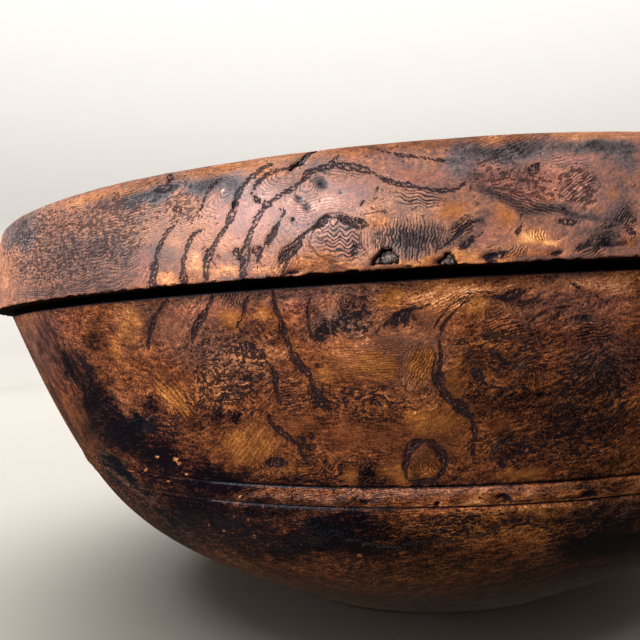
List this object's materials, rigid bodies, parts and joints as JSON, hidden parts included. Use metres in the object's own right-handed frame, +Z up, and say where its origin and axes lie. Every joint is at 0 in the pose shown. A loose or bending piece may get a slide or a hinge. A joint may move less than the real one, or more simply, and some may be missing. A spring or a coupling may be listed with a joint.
{
  "type": "burl wood bowl",
  "caption": "Wide bowl turned from one burl block, with a thick overhanging collar, a quirk under it, a scribed bead low on the body and a flat base.",
  "frame": {"origin": "centre of the flat base, on the surface that the bowl stands on", "axes": "+Z up along the turning axis; -Y towards the pictured side, with the inclusions in the collar; +X to the right of that view"},
  "size_m": [0.408, 0.408, 0.169],
  "materials": {
    "burl_wood": "old waxed burl, golden brown with dark figure, semi-gloss with fine open grain",
    "bark": "dry grey ingrown bark, matt and crumbly",
    "crack_filler": "grey-green hardened wax and dust, matt"
  },
  "bodies": {
    "root": {"bowl": "burl_wood", "rim_bark_inclusion": "bark", "rim_knot_inclusion": "bark", "rim_crack_fill": "crack_filler"}
  },
  "joints": []
}
